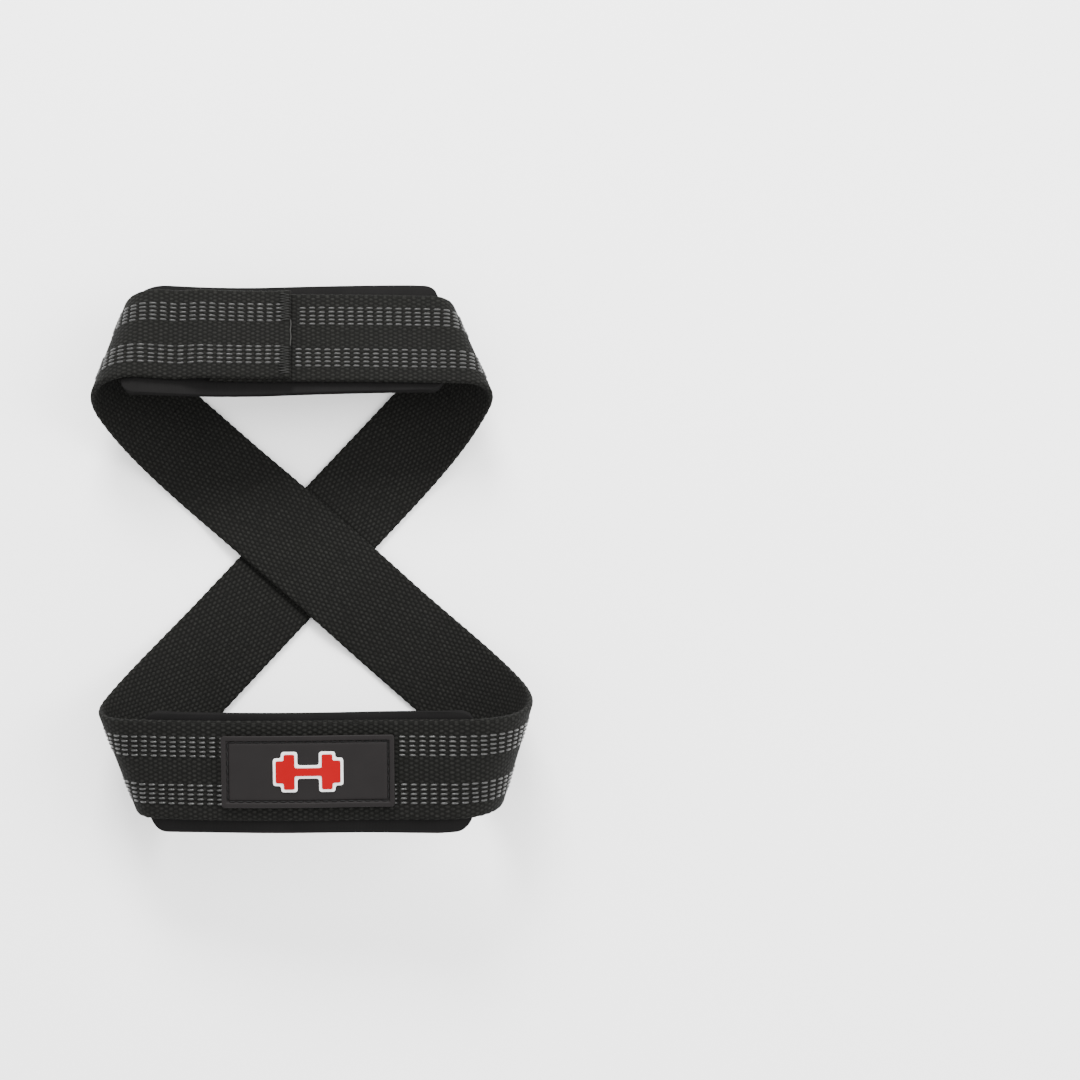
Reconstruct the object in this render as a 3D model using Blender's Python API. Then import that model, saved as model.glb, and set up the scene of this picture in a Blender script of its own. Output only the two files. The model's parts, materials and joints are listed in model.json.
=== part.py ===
"""Figure-eight lifting strap, laid down as an eight on a flat surface.

One long strip of cotton webbing crosses over itself in the middle. At each end it
bends round two corners and comes back above the opening as a padded band. Webbing
bends but doesn't stretch, so each loop is a flat pattern wrapped on a cone: the
cone's tip lies in the surface beyond the loop, and every fold line points at it.

Units are metres. +X points right, +Y to the upper loop and +Z up. The origin is on
the surface, below the middle of the crossing.
"""

import math
from dataclasses import dataclass

import bmesh
import bpy
from mathutils import Vector

# Webbing
WEBBING_WIDTH = 0.038
WEBBING_THICKNESS = 0.0024
SELVEDGE_ROUND = 0.0007

# Clearance between pieces, and between two layers of webbing
SEAT_GAP = 0.0003

# Strands, whose slopes are measured from the X axis
LEFT_STRAND_SLOPE = math.radians(42.3)
RIGHT_STRAND_SLOPE = math.radians(46.8)
CROSSING_MARGIN = 0.0025
CROSSING_RAMP = 0.026

# Upper loop: from the cone's tip to the middle of the band, and the band's height
UPPER_REACH = 0.1952
UPPER_RISE = 0.0320
UPPER_LEFT_BEND = 0.0135
UPPER_LEFT_SWEEP = 0.0406
UPPER_RIGHT_BEND = 0.0083
UPPER_RIGHT_SWEEP = 0.0417

# Lower loop, named as it is seen from above with the lower loop below
LOWER_REACH = 0.2134
LOWER_RISE = 0.0477
LOWER_LEFT_BEND = 0.0117
LOWER_LEFT_SWEEP = 0.0459
LOWER_RIGHT_BEND = 0.0216
LOWER_RIGHT_SWEEP = 0.0445

# How far the gentle sweep below each corner turns the webbing
SWEEP_TURN = math.radians(50)

# Lap seam on the upper band
SEAM_PLACE = 0.006
LAP_LENGTH = 0.032
LAP_RAMP = 0.012

# Neoprene pads: a place is along the band, a shift across it towards the crossing, and a
# drift is how much the shift grows along the band
PAD_LENGTH = 0.1285
PAD_WIDTH = 0.046
PAD_THICKNESS = 0.005
PAD_CORNER = 0.0075
PAD_EDGE_ROUND = 0.0012
UPPER_PAD_PLACE = 0.0028
UPPER_PAD_SHIFT = 0.0
UPPER_PAD_DRIFT = -0.03
LOWER_PAD_PLACE = 0.0108
LOWER_PAD_SHIFT = -0.0017
LOWER_PAD_DRIFT = 0.0

# Moulded patch on the lower band
PATCH_LENGTH = 0.065
PATCH_WIDTH = 0.0272
PATCH_PLACE = 0.0103
PATCH_RIM_WIDTH = 0.0020
PATCH_RIM_HEIGHT = 0.0018
PATCH_GROOVE_WIDTH = 0.0008
PATCH_GROOVE_FLOOR = 0.0009
PATCH_PANEL_HEIGHT = 0.0014
PATCH_CHAMFER = 0.0003

# Emblem: a plain dumb-bell with a pale border
EMBLEM_BORDER = 0.0010
EMBLEM_LAYER = 0.0004
EMBLEM_GAP = 0.0002
BAR_HALF_LENGTH = 0.0050
BAR_HALF_WIDTH = 0.0015
INNER_PLATE_LENGTH = 0.0040
INNER_PLATE_HALF_WIDTH = 0.0066
OUTER_PLATE_LENGTH = 0.0030
OUTER_PLATE_HALF_WIDTH = 0.0042
EMBLEM_STEP = 0.0002

# Fineness of the meshes
BAND_ROWS = 8
BEND_ROWS = 12
SWEEP_ROWS = 6
STRAND_ROWS = 8
RAMP_ROWS = 5
PAD_END_ROWS = 4
PATCH_ROWS = 12


def clear_scene():
    """Remove every object that the file starts with."""
    for item in list(bpy.data.objects):
        bpy.data.objects.remove(item, do_unlink=True)


def make_material(name, colour, roughness, metallic=0.0):
    """A Principled BSDF material."""
    material = bpy.data.materials.new(name)
    material.use_nodes = True
    shader = material.node_tree.nodes["Principled BSDF"]
    shader.inputs["Base Color"].default_value = (*colour, 1.0)
    shader.inputs["Roughness"].default_value = roughness
    shader.inputs["Metallic"].default_value = metallic
    material.diffuse_color = (*colour, 1.0)
    return material


def spread(start, end, count):
    """Evenly spaced values from start up to, but without, end."""
    return [start + (end - start) * step / count for step in range(count)]


def ease(share):
    """Smooth step from 0 to 1."""
    share = min(max(share, 0.0), 1.0)
    return share * share * (3.0 - 2.0 * share)


def direction(azimuth, elevation):
    """Unit vector seen from a cone's tip: azimuth from -Y to +X, elevation from the surface."""
    level = math.cos(elevation)
    return Vector((math.sin(azimuth) * level, -math.cos(azimuth) * level, math.sin(elevation)))


def tangent(centre, target):
    """Unit vector at centre, on the unit sphere, that points towards target."""
    return (target - target.dot(centre) * centre).normalized()


def angle_round(centre, start, end, turn):
    """Angle about centre from start to end, counted in the sense of turn."""
    first = tangent(centre, start)
    second = centre.cross(first)
    return (turn * math.atan2(end.dot(second), end.dot(first))) % (2.0 * math.pi)


class Arc:
    """A circle's arc on the unit sphere round the cone's tip."""

    def __init__(self, centre, radius, start, end, turn):
        self.centre = centre
        self.radius = radius
        self.turn = turn
        self.first = tangent(centre, start)
        self.second = centre.cross(self.first)
        self.length = angle_round(centre, start, end, turn) * math.sin(radius)

    def at(self, travelled):
        """Unit vector to the arc, and the side of the webbing that faces out of the loop."""
        angle = self.turn * travelled / math.sin(self.radius)
        spoke = math.cos(angle) * self.first + math.sin(angle) * self.second
        ray = math.cos(self.radius) * self.centre + math.sin(self.radius) * spoke
        inward = math.sin(self.radius) * self.centre - math.cos(self.radius) * spoke
        return ray, self.turn * inward


class HalfLoop:
    """One side of a loop: half the band, the bend at the corner, and the sweep down to the surface."""

    def __init__(self, rise_angle, bend, sweep, slope):
        self.rise_angle = rise_angle
        self.bend = bend
        self.sweep = sweep
        low, high = 0.0, slope
        for _ in range(40):
            landing = (low + high) / 2.0
            if self.shape(landing) > slope:
                high = landing
            else:
                low = landing
        self.landing = landing

    def shape(self, landing):
        """Lay the three arcs for a sweep that lands at this azimuth, and give the slope that results."""
        floor_point = direction(landing, 0.0)
        sweep_centre = direction(landing, self.sweep)
        down = tangent(sweep_centre, floor_point)
        out = math.cos(SWEEP_TURN) * down + math.sin(SWEEP_TURN) * sweep_centre.cross(down)
        meeting = math.cos(self.sweep) * sweep_centre + math.sin(self.sweep) * out
        inset = self.sweep - self.bend
        bend_centre = math.cos(inset) * sweep_centre + math.sin(inset) * out
        band_radius, turn = self.band_circle(bend_centre)
        band_centre = direction(0.0, self.rise_angle + turn * band_radius)
        corner = math.cos(band_radius) * band_centre
        corner += math.sin(band_radius) * tangent(band_centre, bend_centre)
        middle = direction(0.0, self.rise_angle)
        self.arcs = [
            Arc(band_centre, band_radius, middle, corner, turn),
            Arc(bend_centre, self.bend, corner, meeting, -1.0),
            Arc(sweep_centre, self.sweep, meeting, floor_point, -1.0),
        ]
        self.end = sum(arc.length for arc in self.arcs)
        return self.end + landing

    def band_circle(self, bend_centre):
        """Radius of the band's circle, level at its middle and touching the bend, and its sense."""
        cosine, sine = math.cos(self.rise_angle), math.sin(self.rise_angle)
        level, height = -bend_centre.y, bend_centre.z
        along = cosine * level + sine * height - math.cos(self.bend)
        across = cosine * height - sine * level + math.sin(self.bend)
        radius = math.atan2(-along, across)
        if radius > math.pi / 2.0:
            radius -= math.pi
        if radius < -math.pi / 2.0:
            radius += math.pi
        return abs(radius), math.copysign(1.0, radius)

    def at(self, angle):
        """Unit vector and outward side at this angle of the flat pattern."""
        for arc in self.arcs:
            if angle <= arc.length:
                return arc.at(angle)
            angle -= arc.length
        return direction(self.landing - angle, 0.0), Vector((0.0, 0.0, -1.0))


@dataclass
class Corner:
    """Radii at the middle of the webbing: the tight bend, and the sweep below it."""

    bend: float
    sweep: float
    slope: float


class Loop:
    """A flat pattern wrapped into one loop of the eight.

    On the pattern, along runs from the middle of the band, across grows towards the
    crossing, and out is the height over the pattern's middle surface.
    """

    def __init__(self, reach, rise, low_corner, high_corner, turned):
        self.reach = reach
        self.turned = turned
        half_tip = (math.pi - LEFT_STRAND_SLOPE - RIGHT_STRAND_SLOPE) / 2.0
        bisector = math.pi / 2.0 + (RIGHT_STRAND_SLOPE - LEFT_STRAND_SLOPE) / 2.0
        tip_distance = reach / math.sin(half_tip)
        self.tip = Vector(
            (
                tip_distance * math.cos(bisector),
                tip_distance * math.sin(bisector),
                WEBBING_THICKNESS / 2.0,
            )
        )
        rise_angle = math.asin(rise / reach)
        self.low, self.high = (
            HalfLoop(rise_angle, corner.bend / reach, corner.sweep / reach, corner.slope)
            for corner in (low_corner, high_corner)
        )
        self.crossing = reach / math.tan(half_tip)

    def place(self, along, across, out):
        """Point in space for a point of the flat pattern."""
        distance = math.hypot(along, self.reach + across)
        angle = math.atan2(along, self.reach + across)
        ray, side = (self.high if angle >= 0.0 else self.low).at(abs(angle))
        point = distance * ray + out * side
        if angle < 0.0:
            point.x = -point.x
        point += self.tip
        return Vector((-point.x, -point.y, point.z)) if self.turned else point

    def landed(self, high_side):
        """Place where the webbing has come down to the surface."""
        half = self.high if high_side else self.low
        return self.reach * math.tan(half.end)

    def skew(self, along):
        """Slant of the fold line at a place, which fades out on the flat strand."""
        landed = self.landed(along >= 0.0)
        fade = (abs(along) - landed) / (self.crossing - landed)
        return along / self.reach * (1.0 - min(max(fade, 0.0), 1.0))

    def bent_places(self, high_side):
        """Places from the middle of the band to where the webbing has come down."""
        half = self.high if high_side else self.low
        band, bend, _ = (arc.length for arc in half.arcs)
        angles = spread(0.0, band, BAND_ROWS)
        angles += spread(band, band + bend, BEND_ROWS)
        angles += spread(band + bend, half.end, SWEEP_ROWS)
        return [self.reach * math.tan(angle) for angle in angles]


def make_loops():
    """The upper and lower loops, which share the strands through the crossing."""
    upper_left = Corner(UPPER_LEFT_BEND, UPPER_LEFT_SWEEP, LEFT_STRAND_SLOPE)
    upper_right = Corner(UPPER_RIGHT_BEND, UPPER_RIGHT_SWEEP, RIGHT_STRAND_SLOPE)
    lower_left = Corner(LOWER_LEFT_BEND, LOWER_LEFT_SWEEP, RIGHT_STRAND_SLOPE)
    lower_right = Corner(LOWER_RIGHT_BEND, LOWER_RIGHT_SWEEP, LEFT_STRAND_SLOPE)
    upper = Loop(UPPER_REACH, UPPER_RISE, upper_left, upper_right, turned=False)
    lower = Loop(LOWER_REACH, LOWER_RISE, lower_right, lower_left, turned=True)
    return upper, lower


def make_solid(name, rows, material):
    """A closed solid through rows, each an upper and a lower line of points."""
    mesh = bmesh.new()
    loops = []
    for upper_line, lower_line in rows:
        outline = list(upper_line) + list(reversed(lower_line))
        loops.append([mesh.verts.new(point) for point in outline])
    count = len(loops[0])
    for before, after in zip(loops, loops[1:]):
        for index in range(count):
            following = (index + 1) % count
            mesh.faces.new((before[index], before[following], after[following], after[index]))
    for end in (loops[0], loops[-1]):
        half = count // 2
        for index in range(half - 1):
            mesh.faces.new((end[index], end[index + 1], end[count - 2 - index], end[count - 1 - index]))
    bmesh.ops.recalc_face_normals(mesh, faces=mesh.faces)
    data = bpy.data.meshes.new(name)
    mesh.to_mesh(data)
    mesh.free()
    data.shade_smooth()
    data.set_sharp_from_angle(angle=math.radians(35))
    data.materials.append(material)
    item = bpy.data.objects.new(name, data)
    bpy.context.scene.collection.objects.link(item)
    return item


def edge_lines(half_width, half_thickness, edge_round):
    """Across and out values of a flat section's upper and lower lines, with eased edges."""
    flat = half_width - edge_round
    lip = half_thickness - edge_round
    acrosses = (-half_width, -flat, flat, half_width)
    outs = (lip, half_thickness, half_thickness, lip)
    return acrosses, outs


def crossing_level():
    """Half the stretch of a strand that lies over or under the other strand."""
    crossing_angle = LEFT_STRAND_SLOPE + RIGHT_STRAND_SLOPE
    return WEBBING_WIDTH / 2.0 / math.sin(crossing_angle) + CROSSING_MARGIN


def crossing_lift(loop, along):
    """Height, out of the loop, of the strand that passes over the other one."""
    distance = loop.crossing - abs(along)
    share = 1.0 - ease((distance - crossing_level()) / CROSSING_RAMP)
    return -share * (WEBBING_THICKNESS + SEAT_GAP)


def lap_lift(_loop, along):
    """Height, out of the loop, of the lap seam's upper layer."""
    under_end = SEAM_PLACE - LAP_LENGTH
    share = 1.0 - ease((under_end - CROSSING_MARGIN - along) / LAP_RAMP)
    return share * (WEBBING_THICKNESS + SEAT_GAP)


def no_lift(_loop, _along):
    """The webbing lies at its normal place."""
    return 0.0


def webbing_row(loop, place, lift):
    """Upper and lower points of the webbing's section, along the fold line at one place."""
    acrosses, outs = edge_lines(WEBBING_WIDTH / 2.0, WEBBING_THICKNESS / 2.0, SELVEDGE_ROUND)
    skew = loop.skew(place)
    side = -1.0 if loop.turned else 1.0
    lines = []
    for face in (1.0, -1.0):
        line = []
        for value, out in zip(acrosses, outs):
            across = side * value
            along = place + skew * across
            line.append(loop.place(along, across, face * out + lift(loop, along)))
        lines.append(line)
    return lines


def strand_places(loop, high_side):
    """Places along one half of a loop, from the band's middle to the crossing."""
    level_start = loop.crossing - crossing_level()
    found = loop.bent_places(high_side)
    found += spread(loop.landed(high_side), level_start, STRAND_ROWS)
    return found + [level_start]


def make_webbing(upper, lower, material):
    """The whole strip, from the seam's upper layer round the eight to its lower layer."""
    under_end = SEAM_PLACE - LAP_LENGTH
    ramp_end = under_end - CROSSING_MARGIN - LAP_RAMP
    lap = spread(SEAM_PLACE, under_end, BAND_ROWS)
    upper_left = [-place for place in strand_places(upper, high_side=False) if -place < ramp_end]
    lower_right = [-place for place in strand_places(lower, high_side=False)]
    lower_left = strand_places(lower, high_side=True)
    upper_right = [place for place in strand_places(upper, high_side=True) if place > SEAM_PLACE]
    stretches = (
        (upper, lap + spread(under_end, ramp_end, RAMP_ROWS), lap_lift),
        (upper, upper_left, crossing_lift),
        (lower, [-lower.crossing] + lower_right[::-1], crossing_lift),
        (lower, lower_left[1:] + [lower.crossing], no_lift),
        (upper, upper_right[::-1] + lap + [under_end], no_lift),
    )
    rows = [webbing_row(loop, place, lift) for loop, places, lift in stretches for place in places]
    return make_solid("webbing", rows, material)


def pad_half_width(from_end):
    """Half the pad's width at a distance from its end, with rounded corners."""
    half = PAD_WIDTH / 2.0
    if from_end >= PAD_CORNER:
        return half
    return half - PAD_CORNER + math.sqrt(PAD_CORNER**2 - (PAD_CORNER - from_end) ** 2)


def make_pad(name, loop, place, shift, drift, material):
    """A pad under a band: it bends with the webbing, one seat gap below it."""
    top = -WEBBING_THICKNESS / 2.0 - SEAT_GAP
    shares = (-1.0, -0.67, -0.33, 0.0, 0.33, 0.67, 1.0)
    start = place - PAD_LENGTH / 2.0
    turns = [math.pi / 2.0 * share for share in spread(0.0, 1.0, PAD_END_ROWS)]
    from_end = [PAD_CORNER * (1.0 - math.cos(turn)) for turn in turns]
    from_end.append(PAD_CORNER)
    bends = [-value for value in loop.bent_places(False)[:0:-1]] + loop.bent_places(True)
    straight = [value - start for value in bends if PAD_CORNER < value - start < PAD_LENGTH - PAD_CORNER]
    runs = from_end + straight + [PAD_LENGTH - value for value in reversed(from_end)]
    rows = []
    for run in runs:
        half = pad_half_width(min(run, PAD_LENGTH - run))
        flat = half - PAD_EDGE_ROUND
        middle = shift + drift * (run - PAD_LENGTH / 2.0)
        acrosses = [-half] + [share * flat for share in shares] + [half]
        upper_line, lower_line = [], []
        for across in acrosses:
            lip = PAD_EDGE_ROUND if abs(across) > flat else 0.0
            upper_line.append(loop.place(start + run, middle + across, top - lip))
            lower_line.append(loop.place(start + run, middle + across, top - PAD_THICKNESS + lip))
        rows.append((upper_line, lower_line))
    return make_solid(name, rows, material)


def patch_steps():
    """Insets from the patch's edge, and the height of its face at each."""
    rim_end = PATCH_RIM_WIDTH
    groove_end = PATCH_RIM_WIDTH + PATCH_GROOVE_WIDTH
    return (
        (0.0, PATCH_RIM_HEIGHT - PATCH_CHAMFER),
        (PATCH_CHAMFER, PATCH_RIM_HEIGHT),
        (rim_end - PATCH_CHAMFER, PATCH_RIM_HEIGHT),
        (rim_end, PATCH_GROOVE_FLOOR),
        (groove_end, PATCH_GROOVE_FLOOR),
        (groove_end + PATCH_CHAMFER, PATCH_PANEL_HEIGHT),
    )


def patch_lines(size, rows):
    """Places across a side of the patch with the insets at both ends, and each one's step."""
    steps = patch_steps()
    insets = [inset for inset, _ in steps]
    last = len(insets) - 1
    inner = spread(insets[-1], size - insets[-1], rows)[1:]
    values = [(inset - size / 2.0, step) for step, inset in enumerate(insets)]
    values += [(inset - size / 2.0, last) for inset in inner]
    values += [(size / 2.0 - inset, last - step) for step, inset in enumerate(reversed(insets))]
    return values


def make_patch(loop, material):
    """A moulded plate with a raised rim, a groove inside the rim and a level panel."""
    seat = WEBBING_THICKNESS / 2.0 + SEAT_GAP
    heights = [height for _, height in patch_steps()]
    rows = []
    for along, along_step in patch_lines(PATCH_LENGTH, PATCH_ROWS):
        upper_line, lower_line = [], []
        for across, across_step in patch_lines(PATCH_WIDTH, 2):
            height = heights[min(along_step, across_step)]
            upper_line.append(loop.place(PATCH_PLACE + along, across, seat + height))
            lower_line.append(loop.place(PATCH_PLACE + along, across, seat))
        rows.append((upper_line, lower_line))
    return make_solid("patch", rows, material)


def dumbbell_outline(border):
    """Places along the dumb-bell and its half width at each, grown by a border."""
    inner_end = BAR_HALF_LENGTH + INNER_PLATE_LENGTH
    outer_end = inner_end + OUTER_PLATE_LENGTH
    half = (
        (BAR_HALF_LENGTH - border, BAR_HALF_WIDTH + border),
        (BAR_HALF_LENGTH - border + EMBLEM_STEP, INNER_PLATE_HALF_WIDTH + border),
        (inner_end + border - EMBLEM_STEP, INNER_PLATE_HALF_WIDTH + border),
        (inner_end + border, OUTER_PLATE_HALF_WIDTH + border),
        (outer_end + border - EMBLEM_STEP, OUTER_PLATE_HALF_WIDTH + border),
        (outer_end + border, OUTER_PLATE_HALF_WIDTH + border - EMBLEM_STEP),
    )
    return [(-place, width) for place, width in reversed(half)] + [(0.0, BAR_HALF_WIDTH + border)] + list(half)


def make_emblem_layer(name, loop, border, seat, material):
    """One flat layer of the emblem, laid on the patch's panel."""
    rows = []
    for along, half in dumbbell_outline(border):
        acrosses = (-half, 0.0, half)
        upper_line = [loop.place(PATCH_PLACE + along, across, seat + EMBLEM_LAYER) for across in acrosses]
        lower_line = [loop.place(PATCH_PLACE + along, across, seat) for across in acrosses]
        rows.append((upper_line, lower_line))
    return make_solid(name, rows, material)


def main():
    """Build the strap."""
    clear_scene()
    cotton = make_material("black cotton webbing", (0.014, 0.014, 0.013), 0.85)
    neoprene = make_material("black neoprene", (0.011, 0.011, 0.011), 0.65)
    rubber = make_material("dark grey rubber", (0.040, 0.037, 0.037), 0.50)
    white = make_material("white rubber", (0.80, 0.80, 0.80), 0.50)
    red = make_material("red rubber", (0.75, 0.035, 0.045), 0.45)
    upper, lower = make_loops()
    make_webbing(upper, lower, cotton)
    make_pad("upper_pad", upper, UPPER_PAD_PLACE, UPPER_PAD_SHIFT, UPPER_PAD_DRIFT, neoprene)
    make_pad("lower_pad", lower, LOWER_PAD_PLACE, LOWER_PAD_SHIFT, LOWER_PAD_DRIFT, neoprene)
    make_patch(lower, rubber)
    panel = WEBBING_THICKNESS / 2.0 + SEAT_GAP + PATCH_PANEL_HEIGHT
    border_seat = panel + EMBLEM_GAP
    field_seat = border_seat + EMBLEM_LAYER + EMBLEM_GAP
    make_emblem_layer("emblem_border", lower, EMBLEM_BORDER, border_seat, white)
    make_emblem_layer("emblem_field", lower, 0.0, field_seat, red)


main()
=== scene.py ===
"""Dressed model of a figure-eight lifting strap that lies on a pale surface.

The strap is one strip of woven webbing with grip yarn in its outer face. It is folded into an
eight, with a neoprene pad under each band and a moulded patch on the lower band. Every piece
is laid out on the webbing's flat pattern, in metres, and wrapped into the shape that the
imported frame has.
"""

import json
import logging
import math
from collections.abc import Callable, Sequence
from dataclasses import dataclass, field
from enum import Enum

import bmesh
import bpy
import numpy as np
from mathutils import Matrix, Vector

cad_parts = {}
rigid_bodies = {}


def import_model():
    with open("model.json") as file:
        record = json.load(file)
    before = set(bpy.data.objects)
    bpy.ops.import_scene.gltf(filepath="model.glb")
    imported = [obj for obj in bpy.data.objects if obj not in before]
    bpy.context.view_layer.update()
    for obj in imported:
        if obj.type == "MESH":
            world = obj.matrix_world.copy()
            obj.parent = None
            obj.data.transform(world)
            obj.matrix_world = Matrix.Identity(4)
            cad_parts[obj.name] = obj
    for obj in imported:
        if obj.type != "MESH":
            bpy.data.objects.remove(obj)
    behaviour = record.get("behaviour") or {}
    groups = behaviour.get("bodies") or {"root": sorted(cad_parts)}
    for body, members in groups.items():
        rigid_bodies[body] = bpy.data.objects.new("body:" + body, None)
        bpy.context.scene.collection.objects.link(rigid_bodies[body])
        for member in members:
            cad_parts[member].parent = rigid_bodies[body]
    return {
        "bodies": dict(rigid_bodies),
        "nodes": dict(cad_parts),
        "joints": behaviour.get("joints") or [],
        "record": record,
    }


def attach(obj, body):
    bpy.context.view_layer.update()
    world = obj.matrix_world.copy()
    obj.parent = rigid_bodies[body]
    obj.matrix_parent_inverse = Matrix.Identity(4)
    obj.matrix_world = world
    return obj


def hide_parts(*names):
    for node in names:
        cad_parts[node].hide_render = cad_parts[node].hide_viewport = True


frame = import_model()

LOG = logging.getLogger("strap")
Array = np.ndarray
Colour = tuple[float, float, float]
Height = Callable[[Array, Array, Array], Array]
MM = 0.001
THREAD_TIP = 0.05
BACK_ON_PATTERN = 0.1


class Band(Enum):
    """The two bands of the eight."""

    UPPER = "upper"
    LOWER = "lower"


def direction(azimuth: float, elevation: float) -> Array:
    """Unit vector from a cone's tip: azimuth from -Y to +X, elevation from the surface."""
    level = math.cos(elevation)
    return np.array((math.sin(azimuth) * level, -math.cos(azimuth) * level, math.sin(elevation)))


def tangent(centre: Array, target: Array) -> Array:
    """Unit vector at centre, on the unit sphere, that points towards target."""
    offset = target - target.dot(centre) * centre
    return offset / np.linalg.norm(offset)


def ease(share: Array) -> Array:
    """Smooth step from 0 to 1."""
    share = np.clip(share, 0.0, 1.0)
    return share * share * (3.0 - 2.0 * share)


class Arc:
    """A circle's arc on the unit sphere round a cone's tip."""

    def __init__(self, centre: Array, radius: float, start: Array, end: Array, turn: float) -> None:
        """Lay the arc.

        Args:
            centre: Unit vector to the circle's centre.
            radius: The circle's angular radius.
            start: Unit vector to where the arc starts.
            end: Unit vector to where the arc ends.
            turn: Sense of the turn about the centre, 1 or -1.
        """
        self.centre = centre
        self.radius = radius
        self.turn = turn
        self.first = tangent(centre, start)
        self.second = np.cross(centre, self.first)
        angle = turn * math.atan2(end.dot(self.second), end.dot(self.first))
        self.length = angle % (2.0 * math.pi) * math.sin(radius)

    def at(self, travelled: Array) -> tuple[Array, Array]:
        """Follow the arc.

        Args:
            travelled: Angles along the arc, seen from the cone's tip.

        Returns:
            Unit vectors to the arc, and the side of the webbing that faces out of the loop.
        """
        angle = (self.turn * travelled / math.sin(self.radius))[:, None]
        spoke = np.cos(angle) * self.first + np.sin(angle) * self.second
        ray = math.cos(self.radius) * self.centre + math.sin(self.radius) * spoke
        inward = math.sin(self.radius) * self.centre - math.cos(self.radius) * spoke
        return ray, self.turn * inward


@dataclass(frozen=True)
class Corner:
    """Radii at the middle of the webbing: the tight bend, and the sweep below it."""

    bend: float
    sweep: float
    slope: float


class HalfLoop:
    """Half the band, the bend at the corner, and the sweep down to the surface."""

    SWEEP_TURN = math.radians(50)

    def __init__(self, rise_angle: float, corner: Corner, reach: float) -> None:
        """Find the landing at which the arcs end on the strand's slope.

        Args:
            rise_angle: Elevation of the band's middle, seen from the cone's tip.
            corner: The corner's radii and the slope of its strand.
            reach: Distance from the cone's tip to the band's middle.
        """
        self.rise_angle = rise_angle
        self.bend = corner.bend / reach
        self.sweep = corner.sweep / reach
        low, high = 0.0, corner.slope
        for _ in range(40):
            self.landing = (low + high) / 2.0
            if self.lay_arcs() > corner.slope:
                high = self.landing
            else:
                low = self.landing

    def lay_arcs(self) -> float:
        """Lay the three arcs for the present landing.

        Returns:
            The slope of the strand that results.
        """
        floor_point = direction(self.landing, 0.0)
        sweep_centre = direction(self.landing, self.sweep)
        down = tangent(sweep_centre, floor_point)
        sideways = np.cross(sweep_centre, down)
        out = math.cos(self.SWEEP_TURN) * down + math.sin(self.SWEEP_TURN) * sideways
        meeting = math.cos(self.sweep) * sweep_centre + math.sin(self.sweep) * out
        inset = self.sweep - self.bend
        bend_centre = math.cos(inset) * sweep_centre + math.sin(inset) * out
        radius, turn = self.band_circle(bend_centre)
        band_centre = direction(0.0, self.rise_angle + turn * radius)
        corner = math.cos(radius) * band_centre
        corner = corner + math.sin(radius) * tangent(band_centre, bend_centre)
        middle = direction(0.0, self.rise_angle)
        self.arcs = (
            Arc(band_centre, radius, middle, corner, turn),
            Arc(bend_centre, self.bend, corner, meeting, -1.0),
            Arc(sweep_centre, self.sweep, meeting, floor_point, -1.0),
        )
        self.end = sum(arc.length for arc in self.arcs)
        return self.end + self.landing

    def band_circle(self, bend_centre: Array) -> tuple[float, float]:
        """Find the band's circle, which is level at its middle and touches the bend.

        Args:
            bend_centre: Unit vector to the centre of the corner's tight bend.

        Returns:
            The circle's angular radius and its sense, 1 or -1.
        """
        cosine, sine = math.cos(self.rise_angle), math.sin(self.rise_angle)
        level, height = -bend_centre[1], bend_centre[2]
        along = cosine * level + sine * height - math.cos(self.bend)
        across = cosine * height - sine * level + math.sin(self.bend)
        radius = math.atan2(-along, across)
        if radius > math.pi / 2.0:
            radius -= math.pi
        if radius < -math.pi / 2.0:
            radius += math.pi
        return abs(radius), math.copysign(1.0, radius)

    def at(self, angles: Array) -> tuple[Array, Array]:
        """Unit vectors and outward sides at these angles of the flat pattern."""
        level = self.landing - (angles - self.end)
        flat = np.zeros_like(angles)
        rays = np.stack((np.sin(level), -np.cos(level), flat), axis=1)
        sides = np.tile((0.0, 0.0, -1.0), (len(angles), 1))
        start = 0.0
        for arc in self.arcs:
            here = (angles >= start) & (angles <= start + arc.length)
            rays[here], sides[here] = arc.at(angles[here] - start)
            start += arc.length
        return rays, sides


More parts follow.
